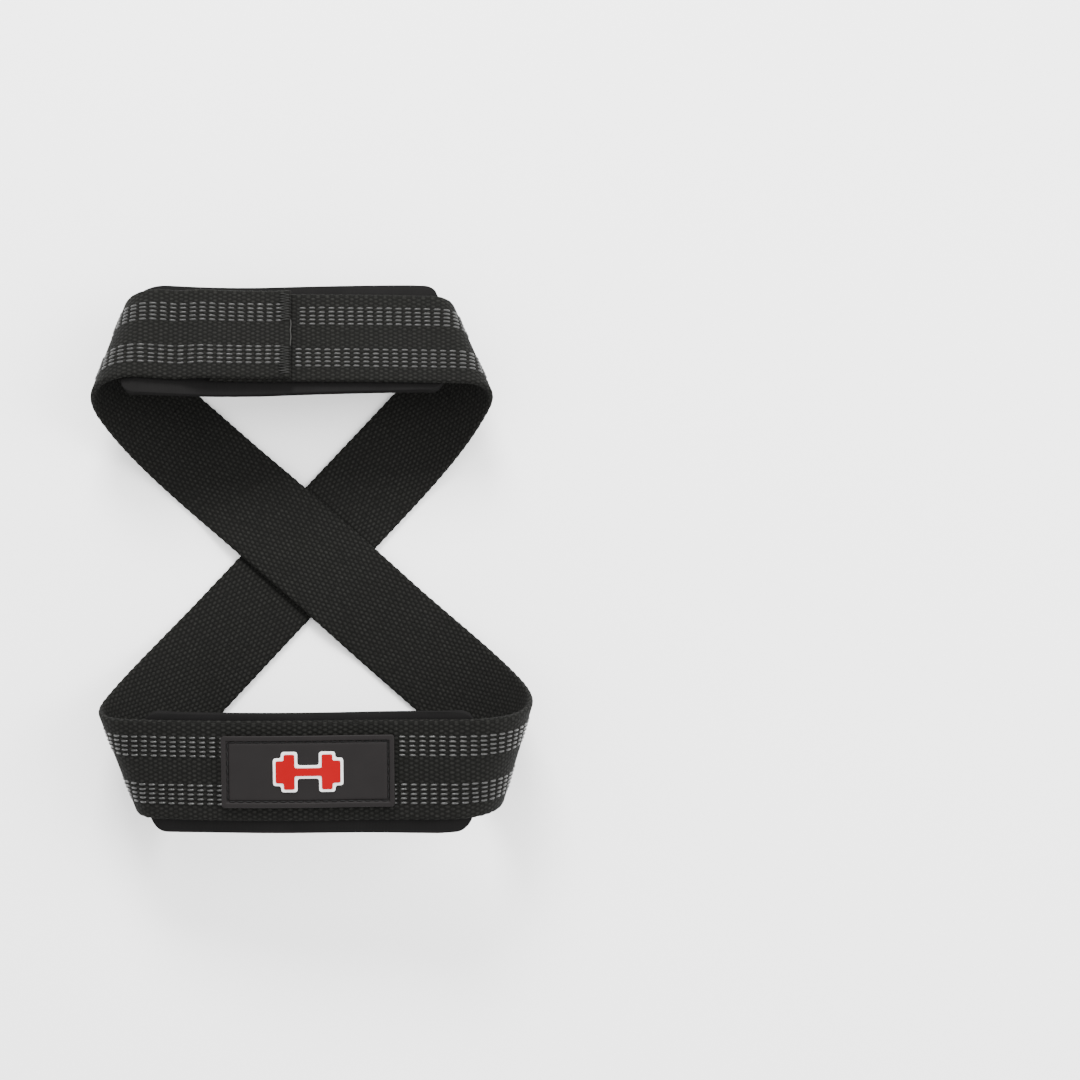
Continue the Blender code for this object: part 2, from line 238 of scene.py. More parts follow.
class Loop:
    """A flat pattern wrapped into one loop of the eight.

    On the pattern, along runs from the middle of the band, across grows towards the
    crossing, and out is the height over the webbing's middle surface.
    """

    def __init__(self, reach: float, rise: float, low: Corner, high: Corner, turned: bool,
                 base: float) -> None:
        """Place the loop's cone.

        Args:
            reach: Distance from the cone's tip to the band's middle.
            rise: Height of the band's middle over the strands.
            low: The corner where along is below 0.
            high: The corner where along is above 0.
            turned: Whether the loop is turned half a turn, as the lower one is.
            base: Height of the strands' middle surface.
        """
        self.reach = reach
        self.turned = turned
        half_tip = (math.pi - low.slope - high.slope) / 2.0
        bisector = math.pi / 2.0 + (high.slope - low.slope) / 2.0
        distance = reach / math.sin(half_tip)
        self.tip = np.array((distance * math.cos(bisector), distance * math.sin(bisector), base))
        rise_angle = math.asin(rise / reach)
        self.low = HalfLoop(rise_angle, low, reach)
        self.high = HalfLoop(rise_angle, high, reach)
        self.crossing = reach / math.tan(half_tip)

    def place(self, along: Array, across: Array, out: Array) -> Array:
        """Wrap points of the flat pattern.

        Args:
            along: Places along the webbing.
            across: Places across the webbing.
            out: Heights over the middle surface.

        Returns:
            One point in space for each place, with the shape of the inputs.
        """
        along, across, out = np.broadcast_arrays(along, across, out)
        shape = along.shape
        along, across, out = along.ravel(), across.ravel(), out.ravel()
        distance = np.hypot(along, self.reach + across)
        angle = np.arctan2(along, self.reach + across)
        points = np.empty((len(along), 3))
        for half, here in ((self.high, angle >= 0.0), (self.low, angle < 0.0)):
            rays, sides = half.at(np.abs(angle[here]))
            points[here] = distance[here, None] * rays + out[here, None] * sides
        points[angle < 0.0, 0] *= -1.0
        points += self.tip
        if self.turned:
            points[:, :2] *= -1.0
        return points.reshape(shape + (3,))

    def landed(self, along: float) -> float:
        """Place where the webbing on this side has come down to the surface."""
        half = self.high if along >= 0.0 else self.low
        return self.reach * math.tan(half.end)


@dataclass
class StrapShape:
    """The folded strap: its webbing's section and the two loops of the eight."""

    width: float = 0.038
    thickness: float = 0.0024
    seat_gap: float = 0.0003
    left_slope: float = math.radians(42.3)
    right_slope: float = math.radians(46.8)
    crossing_margin: float = 0.0025
    crossing_ramp: float = 0.026
    upper_reach: float = 0.1952
    upper_rise: float = 0.0320
    upper_left: tuple[float, float] = (0.0135, 0.0406)
    upper_right: tuple[float, float] = (0.0083, 0.0417)
    lower_reach: float = 0.2134
    lower_rise: float = 0.0477
    lower_left: tuple[float, float] = (0.0117, 0.0459)
    lower_right: tuple[float, float] = (0.0216, 0.0445)
    seam_place: float = 0.006
    lap_length: float = 0.032
    lap_ramp: float = 0.012
    lap_shift: float = 0.0002
    lap_shift_fade: float = 0.055
    upper: Loop = field(init=False)
    lower: Loop = field(init=False)

    def __post_init__(self) -> None:
        """Wrap the two loops, which share the strands through the crossing."""
        base = self.thickness / 2.0
        upper_left = Corner(*self.upper_left, self.left_slope)
        upper_right = Corner(*self.upper_right, self.right_slope)
        lower_left = Corner(*self.lower_left, self.right_slope)
        lower_right = Corner(*self.lower_right, self.left_slope)
        self.upper = Loop(self.upper_reach, self.upper_rise, upper_left, upper_right, False, base)
        self.lower = Loop(self.lower_reach, self.lower_rise, lower_right, lower_left, True, base)

    def loop(self, band: Band) -> Loop:
        """The loop that holds a band."""
        return self.upper if band is Band.UPPER else self.lower

    @property
    def face(self) -> float:
        """Height of the webbing's faces over its middle surface."""
        return self.thickness / 2.0

    @property
    def first_end(self) -> float:
        """Length from the seam's upper layer to the first pass of the crossing."""
        return self.seam_place + self.upper.crossing

    @property
    def second_end(self) -> float:
        """Length from the seam's upper layer to the second pass of the crossing."""
        return self.first_end + 2.0 * self.lower.crossing

    @property
    def length(self) -> float:
        """Length of the whole strip, with the lap."""
        return self.second_end + self.upper.crossing - self.seam_place + self.lap_length

    def crossing_lift(self, loop: Loop, along: Array) -> Array:
        """Height, out of the loop, of the strand that passes over the other one."""
        angle = self.left_slope + self.right_slope
        level = self.width / 2.0 / math.sin(angle) + self.crossing_margin
        distance = loop.crossing - np.abs(along)
        share = 1.0 - ease((distance - level) / self.crossing_ramp)
        return -share * (self.thickness + self.seat_gap)

    def lap_lift(self, along: Array) -> Array:
        """Height, out of the loop, of the lap seam's upper layer."""
        ramp_start = self.seam_place - self.lap_length - self.crossing_margin
        share = 1.0 - ease((ramp_start - along) / self.lap_ramp)
        return share * (self.thickness + self.seat_gap)

    def top_layer(self, along: Array) -> Array:
        """Lift of the upper band's left part, which runs from the seam to the crossing."""
        return self.lap_lift(along) + self.crossing_lift(self.upper, along)

    def seam_shift(self, along: Array) -> Array:
        """How far the seam's upper layer is sewn out of line with the lower one."""
        return -self.lap_shift * ease(1.0 - (self.seam_place - along) / self.lap_shift_fade)

    def lower_layer(self, along: Array) -> Array:
        """Lift of the lower loop, whose right strand passes over the crossing."""
        return np.where(along < 0.0, self.crossing_lift(self.lower, along), 0.0)

    def place(self, run: Array, across: Array, out: Array) -> Array:
        """Points of the strip, which starts at the seam's upper layer.

        Args:
            run: Lengths along the strip.
            across: Places across it, towards the crossing on the upper loop.
            out: Heights over the middle surface, towards the grip face.

        Returns:
            One point in space for each place.
        """
        run, across, out = np.broadcast_arrays(run, across, out)
        points = np.empty(run.shape + (3,))
        first = run < self.first_end
        along = self.seam_place - run[first]
        sideways = across[first] + self.seam_shift(along)
        points[first] = self.upper.place(along, sideways, out[first] + self.top_layer(along))
        second = (run >= self.first_end) & (run < self.second_end)
        along = run[second] - self.first_end - self.lower.crossing
        points[second] = self.lower.place(along, -across[second], out[second] + self.lower_layer(along))
        third = run >= self.second_end
        along = self.upper.crossing - (run[third] - self.second_end)
        points[third] = self.upper.place(along, across[third], out[third])
        return points


def level(height: float) -> Height:
    """Height function of a plate's flat face."""
    return lambda x, _y, _edge: np.full_like(x, height)


def link_object(data: bpy.types.Mesh, material: bpy.types.Material) -> bpy.types.Object:
    """Put a mesh in the scene as a smooth object.

    Args:
        data: The mesh, whose name the object takes.
        material: The finish.

    Returns:
        The new object.
    """
    data.materials.append(material)
    data.shade_smooth()
    item = bpy.data.objects.new(data.name, data)
    bpy.context.scene.collection.objects.link(item)
    return item


def make_object(name: str, points: Array, faces: Sequence[Sequence[int]], material: bpy.types.Material,
                pattern: Array | None = None) -> bpy.types.Object:
    """Make a smooth mesh object in the scene.

    Args:
        name: The piece's name.
        points: Vertices, one row each.
        faces: Vertex numbers of each face.
        material: The finish.
        pattern: Flat-pattern coordinates for each face corner, in metres.

    Returns:
        The new object.
    """
    data = bpy.data.meshes.new(name)
    data.from_pydata([tuple(point) for point in points], [], [tuple(face) for face in faces])
    if pattern is not None:
        layer = data.uv_layers.new(name="pattern")
        layer.data.foreach_set("uv", np.asarray(pattern, dtype=np.float32).ravel())
    data.validate()
    return link_object(data, material)


def read_points(data: bpy.types.Mesh) -> Array:
    """Places of a mesh's vertices, one row each."""
    flat = np.empty(3 * len(data.vertices))
    data.vertices.foreach_get("co", flat)
    return flat.reshape(-1, 3)


def grid_faces(rows: int, columns: int, first: int = 0, flipped: bool = False) -> Array:
    """Quads of a grid of vertices.

    Args:
        rows: Number of rows of vertices.
        columns: Number of vertices in each row.
        first: Number of the grid's first vertex.
        flipped: Whether the faces turn the other way.

    Returns:
        Four vertex numbers for each quad.
    """
    index = first + np.arange(rows * columns).reshape(rows, columns)
    quads = np.stack((index[:-1, :-1], index[1:, :-1], index[1:, 1:], index[:-1, 1:]), axis=-1)
    quads = quads.reshape(-1, 4)
    return quads[:, ::-1] if flipped else quads


def rounded(x: Array, y: Array, half_x: float, half_y: float, corner: float) -> tuple[Array, Array, Array]:
    """Pull the corners of a rectangle's grid in to arcs.

    Args:
        x: Places along the rectangle, from its middle.
        y: Places across it.
        half_x: Half its length.
        half_y: Half its width.
        corner: Radius of its corners.

    Returns:
        The places after the pull, and each one's distance from the edge.
    """
    reach_x = np.abs(x) - (half_x - corner)
    reach_y = np.abs(y) - (half_y - corner)
    plain = (reach_x <= 0.0) | (reach_y <= 0.0)
    far = np.maximum(reach_x, reach_y)
    near = np.minimum(reach_x, reach_y)
    angle = math.pi / 4.0 * near / np.maximum(far, 1e-9)
    longer, shorter = far * np.cos(angle), far * np.sin(angle)
    arc_x = np.where(reach_x >= reach_y, longer, shorter)
    arc_y = np.where(reach_x >= reach_y, shorter, longer)
    new_x = np.where(plain, x, np.sign(x) * (half_x - corner + arc_x))
    new_y = np.where(plain, y, np.sign(y) * (half_y - corner + arc_y))
    straight = np.minimum(half_x - np.abs(x), half_y - np.abs(y))
    return new_x, new_y, np.where(plain, straight, corner - far)


def tube(path: Array, radius: float, sides: int = 6) -> tuple[Array, Array]:
    """A thin round thread along a path, with closed ends.

    Args:
        path: Points of the thread's middle line.
        radius: The thread's radius.
        sides: Number of vertices round it.

    Returns:
        Its vertices and its quads.
    """
    heading = np.gradient(path, axis=0)
    heading /= np.linalg.norm(heading, axis=1, keepdims=True)
    helper = np.where(np.abs(heading[:, 2:]) < 0.8, (0.0, 0.0, 1.0), (1.0, 0.0, 0.0))
    first = np.cross(heading, helper)
    first /= np.linalg.norm(first, axis=1, keepdims=True)
    second = np.cross(heading, first)
    angles = np.linspace(0.0, 2.0 * math.pi, sides + 1)
    taper = np.ones(len(path))
    taper[0] = taper[-1] = THREAD_TIP
    ring = np.cos(angles)[None, :, None] * first[:, None] + np.sin(angles)[None, :, None] * second[:, None]
    points = path[:, None] + radius * taper[:, None, None] * ring
    return points.reshape(-1, 3), grid_faces(len(path), sides + 1)


def join_parts(parts: Sequence[tuple[Array, Array]]) -> tuple[Array, Array]:
    """Put meshes together.

    Args:
        parts: Vertices and quads of each mesh.

    Returns:
        All the vertices, and the quads with their numbers moved on.
    """
    points, faces, count = [], [], 0
    for part_points, part_faces in parts:
        points.append(part_points)
        faces.append(part_faces + count)
        count += len(part_points)
    return np.concatenate(points), np.concatenate(faces)


class Graph:
    """A material's node tree, with short calls for the nodes that the finishes use."""

    def __init__(self, name: str) -> None:
        """Start a material that has only its shader and output."""
        self.material = bpy.data.materials.new(name)
        self.material.use_nodes = True
        self.tree = self.material.node_tree
        self.shader = self.tree.nodes["Principled BSDF"]

    def node(self, kind: str, **settings: object) -> bpy.types.Node:
        """Add a node.

        Args:
            kind: The node's type name.
            settings: Values of its attributes.

        Returns:
            The new node.
        """
        made = self.tree.nodes.new(kind)
        for key, value in settings.items():
            setattr(made, key, value)
        return made

    def feed(self, target: bpy.types.NodeSocket, value: object) -> None:
        """Link a socket into an input, or set the input to a number or colour."""
        if isinstance(value, bpy.types.NodeSocket):
            self.tree.links.new(value, target)
        else:
            target.default_value = value

    def math(self, operation: str, *values: object, clamp: bool = False) -> bpy.types.NodeSocket:
        """Result of a Math node on these values."""
        made = self.node("ShaderNodeMath", operation=operation, use_clamp=clamp)
        for socket, value in zip(made.inputs, values):
            self.feed(socket, value)
        return made.outputs[0]

    def vector(self, operation: str, *values: object) -> bpy.types.NodeSocket:
        """Vector result of a Vector Math node on these values."""
        made = self.node("ShaderNodeVectorMath", operation=operation)
        for socket, value in zip(made.inputs, values):
            self.feed(socket, value)
        return made.outputs["Value" if operation in ("DOT_PRODUCT", "LENGTH") else "Vector"]

    def pattern(self) -> bpy.types.NodeSocket:
        """Flat-pattern coordinates of the piece, in metres."""
        return self.node("ShaderNodeUVMap", uv_map="pattern").outputs["UV"]

    def place(self) -> bpy.types.NodeSocket:
        """Coordinates of the piece in space, in metres."""
        return self.node("ShaderNodeTexCoord").outputs["Object"]

    def noise(self, where: bpy.types.NodeSocket, scale: float, detail: float = 2.0) -> bpy.types.NodeSocket:
        """Noise from 0 to 1 with about this many features in a metre."""
        made = self.node("ShaderNodeTexNoise")
        self.feed(made.inputs["Vector"], where)
        made.inputs["Scale"].default_value = scale
        made.inputs["Detail"].default_value = detail
        return made.outputs["Fac"]

    def between(self, share: object, low: Colour, high: Colour) -> bpy.types.NodeSocket:
        """Colour between two colours."""
        made = self.node("ShaderNodeMix", data_type="RGBA")
        self.feed(made.inputs["Factor"], share)
        made.inputs["A"].default_value = (*low, 1.0)
        made.inputs["B"].default_value = (*high, 1.0)
        return made.outputs["Result"]

    def bump(self, height: bpy.types.NodeSocket, distance: float, strength: float = 1.0) -> None:
        """Raise the surface by a height from 0 to 1 times a distance."""
        made = self.node("ShaderNodeBump")
        made.inputs["Distance"].default_value = distance
        made.inputs["Strength"].default_value = strength
        self.feed(made.inputs["Height"], height)
        self.feed(self.shader.inputs["Normal"], made.outputs["Normal"])

    def shade(self, colour: object, roughness: object, specular: float = 0.5) -> bpy.types.Material:
        """Set or link the shader's inputs.

        Args:
            colour: Base colour, or the socket that gives it.
            roughness: Roughness, or the socket that gives it.
            specular: Specular level.

        Returns:
            The finished material.
        """
        self.feed(self.shader.inputs["Base Color"], colour)
        self.feed(self.shader.inputs["Roughness"], roughness)
        self.feed(self.shader.inputs["Specular IOR Level"], specular)
        return self.material


@dataclass(frozen=True)
class WovenFinish:
    """Black cotton webbing: rounded crests of yarn in rows that are half a repeat apart."""

    repeat_along: float = 3.818 * MM
    repeat_across: float = 1.736 * MM
    crest_along: float = 0.98 * MM
    crest_across: float = 0.66 * MM
    painted_gap_shade_colour: Colour = (0.0038, 0.0038, 0.0034)
    yarn_colour: Colour = (0.0130, 0.0130, 0.0118)
    relief: float = 0.26 * MM
    wander: tuple[float, float, float] = (0.4 * MM, 0.2 * MM, 0.0)
    wander_scale: float = 450.0
    fibre_scale: float = 3200.0
    yarn_scale: float = 700.0
    roughness: float = 0.82
    specular: float = 0.06

    def crests(self, graph: Graph, cells: bpy.types.NodeSocket, shift: float) -> bpy.types.NodeSocket:
        """Height of one set of crests.

        Args:
            graph: The material's nodes.
            cells: Pattern coordinates in repeats.
            shift: Shift of this set, in repeats.

        Returns:
            Height from 0 between the crests to 1 on them.
        """
        moved = graph.vector("ADD", cells, (shift, shift, 0.0))
        local = graph.vector("SUBTRACT", graph.vector("FRACTION", moved), (0.5, 0.5, 0.0))
        size = (self.repeat_along / self.crest_along, self.repeat_across / self.crest_across, 0.0)
        scaled = graph.vector("MULTIPLY", local, size)
        return graph.math("SUBTRACT", 1.0, graph.vector("DOT_PRODUCT", scaled, scaled), clamp=True)

    def material(self) -> bpy.types.Material:
        """The webbing's material."""
        graph = Graph("black cotton webbing")
        pattern = graph.pattern()
        place = graph.place()
        wobble = graph.vector("MULTIPLY", graph.noise(place, self.wander_scale), self.wander)
        cells = graph.vector(
            "MULTIPLY",
            graph.vector("ADD", pattern, wobble),
            (1.0 / self.repeat_along, 1.0 / self.repeat_across, 0.0),
        )
        first = self.crests(graph, cells, 0.0)
        second = self.crests(graph, cells, 0.5)
        crest = graph.math("MAXIMUM", first, second)
        fibre = graph.noise(place, self.fibre_scale, 3.0)
        yarns = graph.noise(place, self.yarn_scale, 1.0)
        uneven = graph.math("MULTIPLY_ADD", graph.math("ADD", fibre, yarns), 1.6, -1.0, clamp=True)
        # Painted shade: the colour darkens from the crests into the gaps between them, where shade falls;
        # fibre and yarn noise vary the tone at random.
        lit = graph.math("MULTIPLY", graph.math("POWER", crest, 0.8), uneven)
        height = graph.math("ADD", graph.math("SQRT", crest), graph.math("MULTIPLY", fibre, 0.35))
        graph.bump(height, self.relief)
        colour = graph.between(lit, self.painted_gap_shade_colour, self.yarn_colour)
        return graph.shade(colour, self.roughness, self.specular)


@dataclass(frozen=True)
class YarnFinish:
    """Twisted yarn or sewing thread, with fine strands across its length."""

    name: str
    shade_colour: Colour
    light_colour: Colour
    roughness: float = 0.45
    specular: float = 0.1

    def material(self) -> bpy.types.Material:
        """The yarn's material."""
        graph = Graph(self.name)
        strands = graph.noise(graph.place(), 2600.0, 2.0)
        cloud = graph.noise(graph.place(), 300.0, 1.0)
        share = graph.math("MULTIPLY", graph.math("ADD", strands, cloud), 0.75, clamp=True)
        graph.bump(strands, 0.12 * MM)
        colour = graph.between(share, self.shade_colour, self.light_colour)
        return graph.shade(colour, self.roughness, self.specular)


@dataclass(frozen=True)
class NeopreneFinish:
    """Neoprene with a fine knitted face."""

    low_colour: Colour = (0.0058, 0.0057, 0.0056)
    high_colour: Colour = (0.0108, 0.0104, 0.0104)
    knit: float = 0.55 * MM
    roughness: float = 0.8
    specular: float = 0.0

    def material(self) -> bpy.types.Material:
        """The pads' material."""
        graph = Graph("black neoprene")
        scaled = graph.vector("MULTIPLY", graph.pattern(), (1.0 / self.knit, 1.0 / self.knit, 0.0))
        parts = graph.node("ShaderNodeSeparateXYZ")
        graph.feed(parts.inputs[0], graph.vector("MULTIPLY", scaled, (2.0 * math.pi,) * 3))
        wales = graph.math("SINE", parts.outputs["X"])
        slant = graph.math("MULTIPLY", wales, 1.2)
        courses = graph.math("SINE", graph.math("ADD", parts.outputs["Y"], slant))
        knit = graph.math("MULTIPLY_ADD", graph.math("ADD", wales, courses), 0.25, 0.5)
        cloud = graph.noise(graph.place(), 90.0, 3.0)
        share = graph.math("MULTIPLY", graph.math("ADD", knit, cloud), 0.5, clamp=True)
        graph.bump(knit, 0.05 * MM)
        colour = graph.between(share, self.low_colour, self.high_colour)
        return graph.shade(colour, self.roughness, self.specular)


@dataclass(frozen=True)
class RubberFinish:
    """Moulded soft rubber, satin with faint mottling."""

    name: str
    low_colour: Colour
    high_colour: Colour
    roughness: float = 0.48
    specular: float = 0.3

    def material(self) -> bpy.types.Material:
        """The moulding's material."""
        graph = Graph(self.name)
        cloud = graph.noise(graph.place(), 120.0, 3.0)
        grain = graph.noise(graph.place(), 4200.0, 2.0)
        graph.bump(grain, 0.03 * MM)
        rough = graph.math("MULTIPLY_ADD", cloud, 0.16, self.roughness - 0.08)
        colour = graph.between(cloud, self.low_colour, self.high_colour)
        return graph.shade(colour, rough, self.specular)


@dataclass
class WebbingStrip:
    """The strip of webbing, from the seam's upper layer round the eight to its lower layer."""

    shape: StrapShape
    row_step: float = 0.955 * MM
    columns: int = 30
    edge_round: float = 1.1 * MM
    edge_steps: int = 5
    scallop_pitch: float = 3.7 * MM
    scallop_depth: float = 0.14 * MM
    end_round: float = 1.2 * MM
    end_rows: tuple[float, ...] = (0.0, 0.1, 0.3, 0.6)
    fold_bulge: float = 0.5 * MM
    fold_length: float = 2.2 * MM

    def section(self) -> tuple[Array, Array, Array]:
        """Points round the webbing's section, which starts and ends at one edge of the grip face.

        Returns:
            Places across, heights over the middle surface, and lengths round the section.
        """
        half, face = self.shape.width / 2.0, self.shape.face
        flat = np.linspace(-(half - self.edge_round), half - self.edge_round, self.columns)
        turn = np.linspace(math.pi / 2.0, -math.pi / 2.0, self.edge_steps + 2)[1:-1]
        edge_across = half - self.edge_round + self.edge_round * np.cos(turn)
        edge_out = face * np.sin(turn)
        across = np.concatenate((flat, edge_across, flat[::-1], -edge_across[::-1], flat[:1]))
        out = np.concatenate((
            np.full(self.columns, face), edge_out, np.full(self.columns, -face), edge_out[::-1], (face,)
        ))
        steps = np.hypot(np.diff(across), np.diff(out))
        girth = np.concatenate(((0.0,), np.cumsum(steps))) - (half - self.edge_round)
        return across, out, girth

    def end_scale(self, run: Array) -> Array:
        """Share of the full thickness near the strip's rounded ends."""
        near = np.minimum(run, self.shape.length - run)
        share = np.clip(near / self.end_round, 0.02, 1.0)
        return np.sqrt(1.0 - (1.0 - share) ** 2)

    def build(self) -> bpy.types.Object:
        """Make the strip.

        Returns:
            The webbing's object.
        """
        across, out, girth = self.section()
        rows = round(self.shape.length / self.row_step)
        ends = np.array(self.end_rows) * self.end_round
        run = np.linspace(self.end_round, self.shape.length - self.end_round, rows)
        run = np.concatenate((ends, run, self.shape.length - ends[::-1]))
        half = self.shape.width / 2.0
        edge = np.clip((np.abs(across) - (half - self.edge_round)) / self.edge_round, 0.0, 1.0)
        wave = self.scallop_depth * np.sin(2.0 * math.pi * run / self.scallop_pitch)
        wide = across[None] + np.sign(across)[None] * edge[None] * wave[:, None]
        bulge = self.fold_bulge * np.exp(-((run / self.fold_length - 1.0) ** 2))
        thick = out[None] * self.end_scale(run)[:, None]
        thick = thick + np.where(out > 0.0, 1.0, 0.0)[None] * bulge[:, None]
        points = self.shape.place(run[:, None], wide, thick)
        count = len(across)
        closed = points[:, :-1].reshape(-1, 3)
        index = np.arange(len(run) * (count - 1)).reshape(len(run), count - 1)
        index = np.concatenate((index, index[:, :1]), axis=1)
        quads = np.stack((index[:-1, :-1], index[:-1, 1:], index[1:, 1:], index[1:, :-1]), axis=-1)
        quads = quads.reshape(-1, 4)
        return make_object(
            "webbing_strip", closed, quads, WovenFinish().material(), self.pattern(run, girth)
        )

    def pattern(self, run: Array, girth: Array) -> Array:
        """Flat-pattern coordinates of the quads' corners.

        Args:
            run: Lengths along the strip of its rows.
            girth: Lengths round the section of its points.

        Returns:
            One row for each corner of each quad.
        """
        near_u, far_u = run[:-1, None], run[1:, None]
        low_v, high_v = girth[None, :-1], girth[None, 1:]
        pairs = ((near_u, low_v), (near_u, high_v), (far_u, high_v), (far_u, low_v))
        corners = [np.stack(np.broadcast_arrays(u, v), axis=-1) for u, v in pairs]
        return np.stack(corners, axis=2).reshape(-1, 2)


@dataclass(frozen=True)
class GripRun:
    """Grip yarn on one half of a loop: where it starts and stops, and a column of each strip."""

    band: Band
    first: float
    last: float
    near_column: float
    far_column: float


@dataclass
class GripYarns:
    """Short raised floats of pale yarn in two strips along the webbing's grip face.

    Each half of a loop has a pair of places: one float column of the near strip, and one of
    the far strip.
    """

    shape: StrapShape
    column_pitch: float = 3.819 * MM
    row_pitch: float = 1.736 * MM
    rows: int = 5
    outer_row: float = 12.545 * MM
    float_length: float = 2.7 * MM
    float_width: float = 0.90 * MM
    height: float = 0.50 * MM
    pressed_height: float = 0.12 * MM
    sunk: float = 0.05 * MM
    seam_clear: float = 4.0 * MM
    seam_start: float = 1.6 * MM
    patch_low: float = -21.4 * MM
    patch_high: float = 42.4 * MM
    upper_left: tuple[float, float] = (-64.242 * MM, -52.232 * MM)
    upper_right: tuple[float, float] = (8.659 * MM, 10.263 * MM)
    lower_right: tuple[float, float] = (-25.056 * MM, -21.645 * MM)
    lower_left: tuple[float, float] = (84.673 * MM, 74.294 * MM)
    unevenness: float = 0.06 * MM
    landing_margin: float = 6.0 * MM
    points_along: int = 8
    points_across: int = 5

    def runs(self) -> tuple[GripRun, ...]:
        """The four halves, whose columns have each their own place."""
        seam = self.shape.seam_place
        upper, lower = self.shape.upper.crossing, self.shape.lower.crossing
        return (
            GripRun(Band.UPPER, -upper, seam - self.seam_clear, *self.upper_left),
            GripRun(Band.UPPER, seam + self.seam_start, upper, *self.upper_right),
            GripRun(Band.LOWER, -lower, self.patch_low, *self.lower_right),
            GripRun(Band.LOWER, self.patch_high, lower, *self.lower_left),
        )

    def float_grid(self) -> tuple[Array, Array, Array]:
        """Outline of one float on the flat pattern.

        Returns:
            Places along and across from its middle, and its height as a share.
        """
        lengths = np.sin(np.linspace(-math.pi / 2.0, math.pi / 2.0, self.points_along))
        widths = np.linspace(-1.0, 1.0, self.points_across)
        along, across = np.meshgrid(lengths, widths, indexing="ij")
        narrow = (1.0 - along**4) ** 0.5
        height = np.sqrt(np.clip(1.0 - across**2, 0.0, 1.0)) * narrow
        return along * self.float_length / 2.0, across * narrow * self.float_width / 2.0, height

    def build(self) -> bpy.types.Object:
        """Make all the floats as one piece.

        Returns:
            The grip yarns' object.
        """
        along, across, height = self.float_grid()
        faces = grid_faces(*along.shape)
        parts = []
        wobble = np.random.default_rng(7)
        for run in self.runs():
            for place, side in self.places(run):
                shift = wobble.normal(0.0, self.unevenness, 2)
                points = self.one_float(run, place + shift[0] + along, side + shift[1] + across, height)
                parts.append((points, faces))
        points, quads = join_parts(parts)
        finish = YarnFinish("glossy grip yarn", (0.004, 0.004, 0.004), (0.019, 0.019, 0.018), 0.30, 0.42)
        return make_object("grip_yarns", points, quads, finish.material())

    def places(self, run: GripRun) -> list[tuple[float, float]]:
        """Find the floats of one half of a loop.

        Args:
            run: The half.

        Returns:
            Places along and across of the floats' middles.
        """
        places = []
        for sign, column in ((1.0, run.near_column), (-1.0, run.far_column)):
            first = math.ceil((run.first - column) / self.column_pitch)
            last = math.floor((run.last - column) / self.column_pitch)
            for step in range(first, last + 1):
                for row in range(self.rows):
                    side = sign * (self.outer_row - row * self.row_pitch)
                    places.append((column + step * self.column_pitch, side))
        return places

    def one_float(self, run: GripRun, along: Array, across: Array, height: Array) -> Array:
        """Wrap one float, which is pressed flat where the webbing lies on the surface.

        Args:
            run: The half of a loop that it is on.
            along: Places along the webbing.
            across: Places across it.
            height: Heights as shares of the full rise.

        Returns:
            One point in space for each place.
        """
        shape = self.shape
        loop = shape.loop(run.band)
        middle = float(along.mean())
        lying = abs(middle) > loop.landed(middle) - self.landing_margin
        rise = self.pressed_height if lying else self.height
        lift = 0.0
        if run.band is Band.LOWER:
            lift = shape.lower_layer(along)
        elif run.last <= shape.seam_place:
            lift = shape.top_layer(along)
            across = across + shape.seam_shift(along)
        out = shape.face - self.sunk + rise * height + lift
        return loop.place(along, across, out).reshape(-1, 3)


@dataclass
class LapStitching:
    """The bar tacks that close the lap seam on both sides of the upper band."""

    shape: StrapShape
    thread_radius: float = 0.17 * MM
    tack_start: float = 4.6 * MM
    tack_end: float = 0.5 * MM
    inner: float = 5.6 * MM
    outer: float = 17.3 * MM
    pitch: float = 1.15 * MM
    thread_low: float = 0.42 * MM
    thread_crown: float = 0.28 * MM
    loop_count: int = 3
    loop_start: float = 13.2 * MM
    loop_pitch: float = 1.3 * MM
    loop_width: float = 0.5 * MM
    loop_place: float = 3.4 * MM
    loop_reach: float = 1.5 * MM
    loop_lift: float = 0.5 * MM

    def tack(self, sign: float) -> tuple[Array, Array]:
        """One bar tack's zigzag thread on one side of the band."""
        count = round((self.outer - self.inner) / self.pitch) * 2 + 1
        turns = np.arange(count)
        fine = np.linspace(0, count - 1, (count - 1) * 5 + 1)
        across = np.interp(fine, turns, np.linspace(self.inner, self.outer, count))
        back = np.interp(fine, turns, np.where(turns % 2 == 0, self.tack_start, self.tack_end))
        lift = self.thread_low + self.thread_crown * np.abs(np.sin(math.pi * fine))
        return self.thread(back, sign * across, lift)

    def thread(self, back: Array, across: Array, lift: Array) -> tuple[Array, Array]:
        """Lay a thread over the seam's upper layer.

        Args:
            back: Distances back from the seam's edge.
            across: Places across the webbing.
            lift: Heights over the webbing's face.

        Returns:
            Its vertices and its quads.
        """
        along = self.shape.seam_place - back
        out = self.shape.face + self.shape.top_layer(along) + lift
        return tube(self.shape.upper.place(along, across, out), self.thread_radius)

    def loops(self) -> list[tuple[Array, Array]]:
        """Loose turns of thread at the lower end of the tack."""
        angle = np.linspace(0.0, math.pi, 9)
        back = self.loop_place - self.loop_reach * np.cos(angle)
        lift = self.loop_lift * (1.0 + np.sin(angle))
        starts = self.loop_start + self.loop_pitch * np.arange(self.loop_count)
        return [self.thread(back, start + self.loop_width * np.sin(angle), lift) for start in starts]

    def build(self) -> bpy.types.Object:
        """Make the stitching.

        Returns:
            The thread's object.
        """
        points, quads = join_parts([self.tack(1.0), self.tack(-1.0), *self.loops()])
        finish = YarnFinish("black sewing thread", (0.002, 0.002, 0.002), (0.016, 0.016, 0.015), 0.5)
        return make_object("lap_stitching", points, quads, finish.material())


